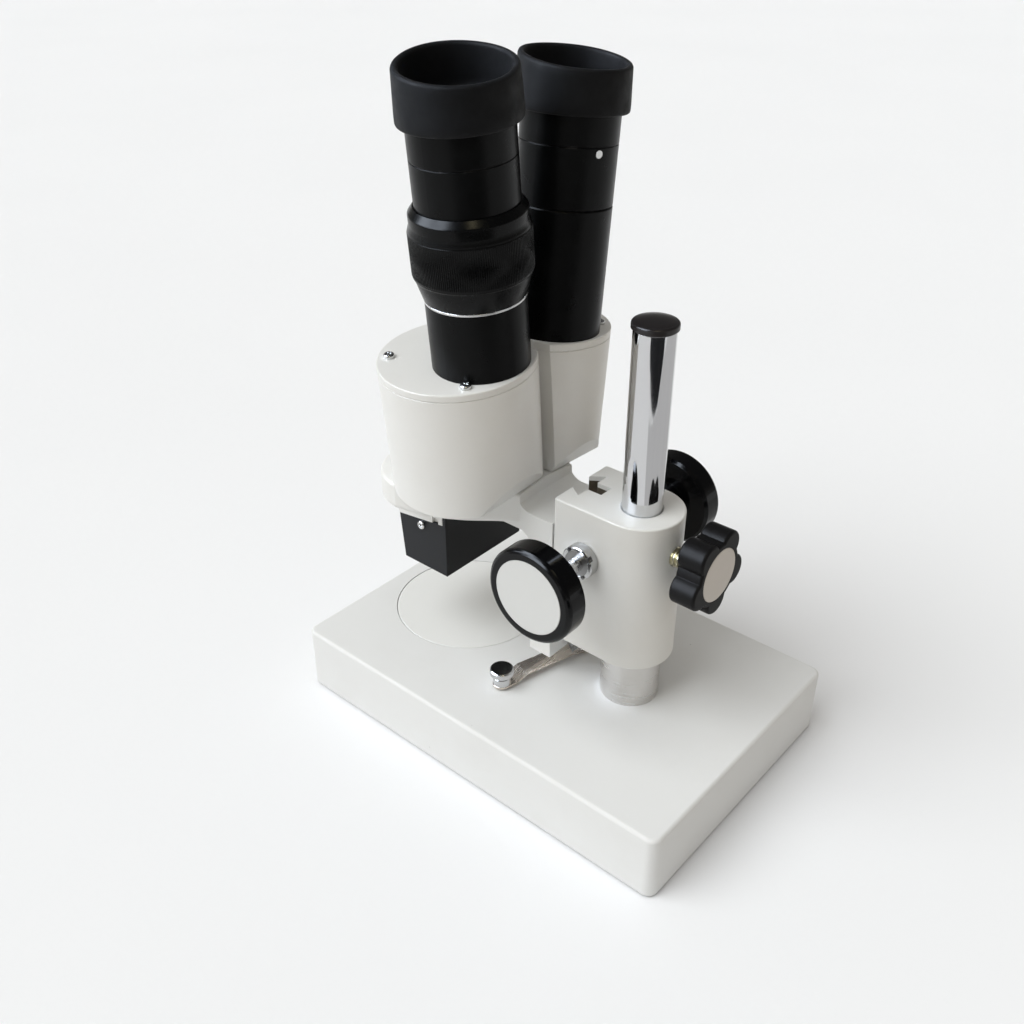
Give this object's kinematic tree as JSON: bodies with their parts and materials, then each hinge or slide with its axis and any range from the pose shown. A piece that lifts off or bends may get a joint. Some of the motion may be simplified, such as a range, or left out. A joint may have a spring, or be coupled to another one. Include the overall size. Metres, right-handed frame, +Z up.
{
  "type": "stereo microscope",
  "caption": "Binocular stereo microscope with inclined eyepiece tubes on a rack-focus arm, carried by a chromed pillar on a flat rectangular base with a stage disc and spring clips.",
  "frame": {"origin": "under the middle of the base, at the level of the table the feet stand on", "axes": "+Z up along the pillar, +X to the user's right, -Y towards the user, +Y towards the pillar end of the base"},
  "size_m": [0.1292, 0.1944, 0.2851],
  "materials": {
    "head_paint": "smooth satin enamel, warm off-white",
    "base_paint": "smooth satin enamel, cooler off-white",
    "plate_paint": "plain dark sheet",
    "stage_white": "smooth white disc",
    "bright_chrome": "polished",
    "turned_steel": "fine turned finish",
    "screw_steel": "bright plated",
    "spring_steel": "rolled strip",
    "zinc_steel": "yellowish plated",
    "knob_black": "moulded, glossy",
    "disc_grey": "smooth light grey inlay",
    "black_enamel": "satin black enamel",
    "shroud_black": "satin black",
    "soft_rubber": "matt dark grey",
    "index_silver": "bright turned",
    "plain_aluminium": "milled",
    "rack_brass": "cut teeth",
    "lens_glass": "coated, clear"
  },
  "bodies": {
    "base": {"base_casting": "base_paint", "base_cover_plate": "plate_paint", "base_cover_screws": "screw_steel", "rubber_feet": "soft_rubber", "pillar_socket": "turned_steel"},
    "stage_plate": {"stage_plate": "stage_white"},
    "clip_right": {"stage_clip_right": "spring_steel", "clip_knob_right": "bright_chrome"},
    "clip_left": {"stage_clip_left": "spring_steel", "clip_knob_left": "bright_chrome"},
    "pillar": {"pillar": "bright_chrome", "pillar_cap": "knob_black", "pillar_bolt": "screw_steel"},
    "housing": {"focus_housing": "head_paint", "pinion_bushes": "plain_aluminium", "tension_collars": "bright_chrome"},
    "clamp_pad": {"clamp_pad": "rack_brass"},
    "clamp_knob": {"clamp_stud": "zinc_steel", "clamp_knob": "knob_black", "clamp_knob_disc": "disc_grey"},
    "focus_shaft": {"pinion_shaft": "turned_steel", "focus_knob_right": "knob_black", "focus_knob_left": "knob_black", "focus_knob_discs": "disc_grey", "knob_grub_screws": "screw_steel"},
    "head": {"head_arm": "head_paint", "dovetail_slide": "turned_steel", "slide_screws": "screw_steel", "rack": "rack_brass", "objective_barrel_right": "black_enamel", "objective_barrel_left": "black_enamel", "objective_lens_right": "lens_glass", "objective_lens_left": "lens_glass", "pivot_ring_right": "turned_steel", "pivot_ring_left": "turned_steel", "objective_shroud": "shroud_black", "shroud_screws": "screw_steel"},
    "pod_right": {"prism_housing_right": "head_paint", "prism_lid_right": "head_paint", "lid_screws_right": "screw_steel", "prisms_right": "lens_glass", "prism_plate_right": "plain_aluminium", "eyepiece_tube_right": "black_enamel", "diopter_index_ring": "index_silver"},
    "pod_left": {"prism_housing_left": "head_paint", "prism_lid_left": "head_paint", "lid_screws_left": "screw_steel", "prisms_left": "lens_glass", "prism_plate_left": "plain_aluminium", "eyepiece_tube_left": "black_enamel", "eyepiece_body_left": "black_enamel", "eyepiece_lenses_left": "lens_glass", "eyepiece_lock_screw": "screw_steel"},
    "diopter_ring": {"diopter_ring": "black_enamel"},
    "eyepiece_right": {"eyepiece_body_right": "black_enamel", "eyepiece_lenses_right": "lens_glass"},
    "eyecup_right": {"eyecup_right": "soft_rubber"},
    "eyecup_left": {"eyecup_left": "soft_rubber"}
  },
  "joints": [
    {"name": "stage_plate_lift", "type": "slide", "parent": "base", "child": "stage_plate", "axis": [0, 0, 1], "range_m": [0, 0.02]},
    {"name": "clip_right_swing", "type": "hinge", "parent": "base", "child": "clip_right", "pos_m": [0.0352, -0.0031, 0.0312], "axis": [0, 0, -1], "range_deg": [-75, 15]},
    {"name": "clip_left_swing", "type": "hinge", "parent": "base", "child": "clip_left", "pos_m": [-0.0352, -0.0031, 0.0312], "axis": [0, 0, -1], "range_deg": [-40, 90]},
    {"name": "stand_swivel", "type": "hinge", "parent": "base", "child": "pillar", "pos_m": [0, 0.0388, 0.0542], "axis": [0, 0, 1], "continuous": true},
    {"name": "stand_height", "type": "slide", "parent": "pillar", "child": "housing", "axis": [0, 0, 1], "range_m": [0, 0.06]},
    {"name": "clamp_advance", "type": "slide", "parent": "housing", "child": "clamp_pad", "axis": [0, 1, 0], "range_m": [0, 0.00263]},
    {"name": "clamp_knob_turn", "type": "hinge", "parent": "clamp_pad", "child": "clamp_knob", "pos_m": [0, 0.0588, 0.107], "axis": [0, 1, 0], "range_deg": [0, 540]},
    {"name": "focus_slide", "type": "slide", "parent": "housing", "child": "head", "axis": [0, 0, 1], "range_m": [-0.003, 0.032]},
    {"name": "focus_knob_turn", "type": "hinge", "parent": "housing", "child": "focus_shaft", "pos_m": [0, 0.0246, 0.1008], "axis": [1, 0, 0], "range_deg": [-425, 45]},
    {"name": "pod_right_swing", "type": "hinge", "parent": "head", "child": "pod_right", "pos_m": [0.01373, -0.0542, 0.1728], "axis": [-0.0965, 0, -0.9953], "range_deg": [-4, 12]},
    {"name": "pod_left_swing", "type": "hinge", "parent": "head", "child": "pod_left", "pos_m": [-0.01373, -0.0542, 0.1728], "axis": [-0.0965, 0, 0.9953], "range_deg": [-4, 12]},
    {"name": "diopter_turn", "type": "hinge", "parent": "pod_right", "child": "diopter_ring", "pos_m": [0.02164, -0.02436, 0.1728], "axis": [0.0965, 0, 0.9953], "range_deg": [-180, 180]},
    {"name": "diopter_advance", "type": "slide", "parent": "pod_right", "child": "eyepiece_right", "axis": [0.0965, 0, 0.9953], "range_m": [-0.0025, 0.0025]},
    {"name": "eyecup_right_turn", "type": "hinge", "parent": "eyepiece_right", "child": "eyecup_right", "pos_m": [0.02164, -0.02436, 0.1728], "axis": [0.0965, 0, 0.9953], "continuous": true},
    {"name": "eyecup_left_turn", "type": "hinge", "parent": "pod_left", "child": "eyecup_left", "pos_m": [-0.02164, -0.02436, 0.1728], "axis": [-0.0965, 0, 0.9953], "continuous": true}
  ],
  "couplings": [
    {"joint": "clamp_advance", "follows": "clamp_knob_turn", "m_per_rad": 0.00027852},
    {"joint": "focus_knob_turn", "follows": "focus_slide", "rad_per_m": -227.27},
    {"joint": "diopter_advance", "follows": "diopter_turn", "m_per_rad": 0.00079577}
  ]
}
